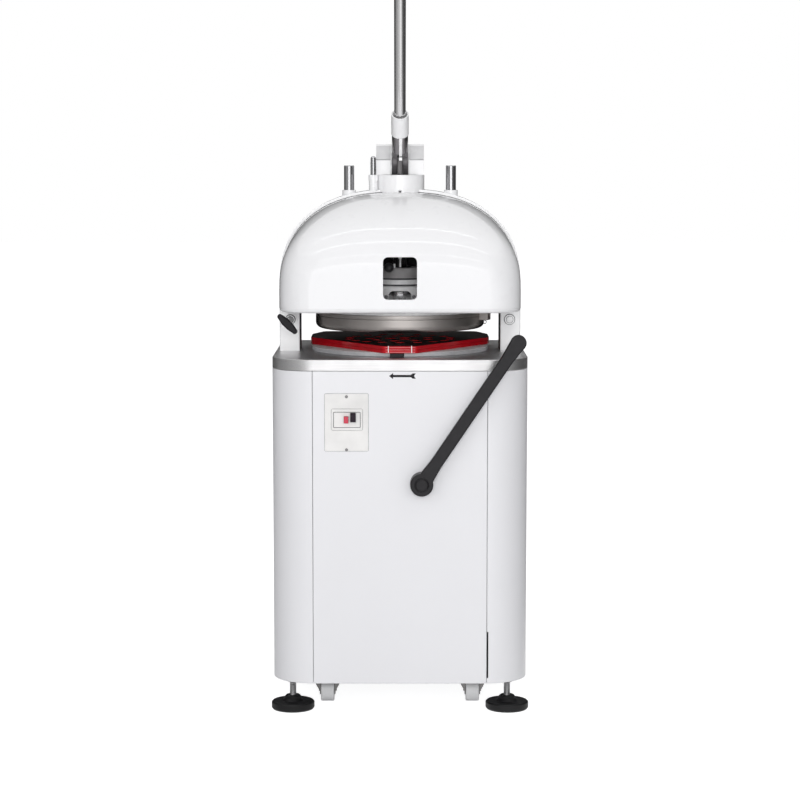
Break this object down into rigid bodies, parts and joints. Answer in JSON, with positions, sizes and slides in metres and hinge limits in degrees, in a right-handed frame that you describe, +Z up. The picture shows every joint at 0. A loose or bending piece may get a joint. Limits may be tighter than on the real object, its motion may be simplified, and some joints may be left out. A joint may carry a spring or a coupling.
{
  "type": "dough divider rounder",
  "caption": "Bakery dough divider rounder: white cabinet on castors, domed press head over a red moulding plate, long press lever, rounding lever",
  "frame": {"origin": "on the floor, under the axis of the press and the crank", "axes": "+X to the operator's right, +Y to the rear, +Z up"},
  "size_m": [0.648, 0.8327, 2.0369],
  "materials": {
    "white_enamel": "smooth white powder coat",
    "dome_white": "glossy white moulding",
    "frame_grey": "grey primer",
    "satin_stainless": "satin brushed",
    "bright_steel": "bright turned",
    "cast_aluminium": "fine turned",
    "red_plate": "glossy red",
    "black_plastic": "satin black",
    "black_rubber": "matt black",
    "wheel_grey": "light grey nylon",
    "switch_ivory": "satin off-white",
    "stop_red": "glossy red"
  },
  "bodies": {
    "cabinet": {"base_plate": "frame_grey", "inner_frame": "frame_grey", "front_panel": "white_enamel", "side_panel_left": "white_enamel", "side_panel_right": "white_enamel", "rear_panel": "white_enamel", "table_top": "satin_stainless", "guide_pins": "bright_steel", "column_left": "white_enamel", "column_right": "white_enamel", "arch_beam": "white_enamel", "front_cover": "dome_white", "rear_cover": "dome_white", "neck": "white_enamel", "lever_housing": "white_enamel", "lever_pivot_pin": "bright_steel", "post_bushes": "white_enamel", "column_caps": "white_enamel", "switch_plate": "switch_ivory", "switch_bezel": "switch_ivory", "panel_screws": "bright_steel", "motor": "frame_grey", "drive_belt": "black_rubber", "bearing_housing": "frame_grey", "rack_guide": "frame_grey", "castor_brackets": "bright_steel", "foot_stems": "bright_steel", "cable_gland": "black_plastic"},
    "press_lever": {"lever_hub": "bright_steel", "lever_ferrule": "white_enamel", "lever_tube": "satin_stainless", "lever_grip": "black_rubber"},
    "press_head": {"plunger": "bright_steel", "crosshead": "cast_aluminium", "cutter_ring": "cast_aluminium", "press_plates": "cast_aluminium", "guide_posts": "bright_steel"},
    "knives": {"knife_grid": "bright_steel"},
    "knife_release": {"release_lever": "black_plastic"},
    "ring_latch": {"ring_latch": "bright_steel"},
    "rounding_lever": {"round_lever_arm": "black_plastic", "round_lever_shaft": "bright_steel"},
    "shift_rack": {"shift_rack": "bright_steel"},
    "crank": {"crank_shaft": "bright_steel", "crank_pulley": "cast_aluminium"},
    "motor_rotor": {"motor_pulley": "cast_aluminium"},
    "eccentric": {"eccentric_slider": "bright_steel"},
    "rounding_table": {"rounding_table": "cast_aluminium", "moulding_plate": "red_plate", "plate_catch": "black_plastic"},
    "lock_handle": {"lock_handle": "black_plastic"},
    "start_button": {"start_button": "black_plastic"},
    "stop_button": {"stop_button": "stop_red"},
    "adjuster_rod": {"adjuster_rod": "bright_steel"},
    "wheel_front_left": {"wheel_front_left": "wheel_grey"},
    "wheel_front_right": {"wheel_front_right": "wheel_grey"},
    "wheel_rear_left": {"wheel_rear_left": "wheel_grey"},
    "wheel_rear_right": {"wheel_rear_right": "wheel_grey"},
    "foot_left": {"foot_pad_left": "black_rubber"},
    "foot_right": {"foot_pad_right": "black_rubber"}
  },
  "joints": [
    {"name": "press_lever_swing", "type": "hinge", "parent": "cabinet", "child": "press_lever", "pos_m": [0, 0, 1.358], "axis": [1, 0, 0], "range_deg": [0, 50]},
    {"name": "press_head_slide", "type": "slide", "parent": "cabinet", "child": "press_head", "axis": [0, 0, -1], "range_m": [0, 0.0295]},
    {"name": "knife_cut", "type": "slide", "parent": "press_head", "child": "knives", "axis": [0, 0, -1], "range_m": [0, 0.0245]},
    {"name": "knife_release_turn", "type": "hinge", "parent": "press_head", "child": "knife_release", "pos_m": [0, 0, 1.097], "axis": [0, 0, 1], "range_deg": [0, 28]},
    {"name": "ring_latch_pull", "type": "slide", "parent": "press_head", "child": "ring_latch", "axis": [0.9563, -0.2924, 0], "range_m": [0, 0.005], "stiffness_N_per_m": 300},
    {"name": "rounding_lever_swing", "type": "hinge", "parent": "cabinet", "child": "rounding_lever", "pos_m": [0.0535, -0.3, 0.582], "axis": [0, -1, 0], "range_deg": [0, 69]},
    {"name": "rack_shift", "type": "slide", "parent": "cabinet", "child": "shift_rack", "axis": [0, 0, -1], "range_m": [0, 0.0265]},
    {"name": "crank_spin", "type": "hinge", "parent": "cabinet", "child": "crank", "pos_m": [0, 0, 0.78], "axis": [0, 0, 1], "continuous": true},
    {"name": "motor_spin", "type": "hinge", "parent": "cabinet", "child": "motor_rotor", "pos_m": [0, 0.165, 0.694], "axis": [0, 0, 1], "continuous": true},
    {"name": "eccentric_shift", "type": "slide", "parent": "crank", "child": "eccentric", "axis": [1, 0, 0], "range_m": [0, 0.012]},
    {"name": "table_counterturn", "type": "hinge", "parent": "eccentric", "child": "rounding_table", "pos_m": [0, 0, 0.89], "axis": [0, 0, 1], "continuous": true},
    {"name": "lock_handle_turn", "type": "hinge", "parent": "cabinet", "child": "lock_handle", "pos_m": [-0.282, -0.06, 0.969], "axis": [0, -1, 0], "range_deg": [0, 90]},
    {"name": "start_press", "type": "slide", "parent": "cabinet", "child": "start_button", "axis": [0, 1, 0], "range_m": [0, 0.003], "stiffness_N_per_m": 400},
    {"name": "stop_press", "type": "slide", "parent": "cabinet", "child": "stop_button", "axis": [0, 1, 0], "range_m": [0, 0.003], "stiffness_N_per_m": 400},
    {"name": "adjuster_turn", "type": "hinge", "parent": "cabinet", "child": "adjuster_rod", "pos_m": [-0.06827, -0.032, 1.3], "axis": [0, 0, 1], "range_deg": [-180, 180]},
    {"name": "wheel_front_left_roll", "type": "hinge", "parent": "cabinet", "child": "wheel_front_left", "pos_m": [-0.1845, -0.18, 0.0325], "axis": [1, 0, 0], "continuous": true},
    {"name": "wheel_front_right_roll", "type": "hinge", "parent": "cabinet", "child": "wheel_front_right", "pos_m": [0.1845, -0.18, 0.0325], "axis": [1, 0, 0], "continuous": true},
    {"name": "wheel_rear_left_roll", "type": "hinge", "parent": "cabinet", "child": "wheel_rear_left", "pos_m": [-0.1845, 0.225, 0.03], "axis": [1, 0, 0], "continuous": true},
    {"name": "wheel_rear_right_roll", "type": "hinge", "parent": "cabinet", "child": "wheel_rear_right", "pos_m": [0.1845, 0.225, 0.03], "axis": [1, 0, 0], "continuous": true},
    {"name": "foot_left_turn", "type": "hinge", "parent": "cabinet", "child": "foot_left", "pos_m": [-0.27, -0.248, 0.025], "axis": [0, 0, 1], "continuous": true},
    {"name": "foot_right_turn", "type": "hinge", "parent": "cabinet", "child": "foot_right", "pos_m": [0.27, -0.248, 0.025], "axis": [0, 0, 1], "continuous": true}
  ],
  "couplings": [
    {"joint": "press_head_slide", "follows": "press_lever_swing", "m_per_rad": 0.033804},
    {"joint": "rack_shift", "follows": "rounding_lever_swing", "m_per_rad": 0.022},
    {"joint": "eccentric_shift", "follows": "rounding_lever_swing", "m_per_rad": 0.009964},
    {"joint": "motor_spin", "follows": "crank_spin", "ratio": 2.7647},
    {"joint": "table_counterturn", "follows": "crank_spin", "ratio": -1}
  ]
}
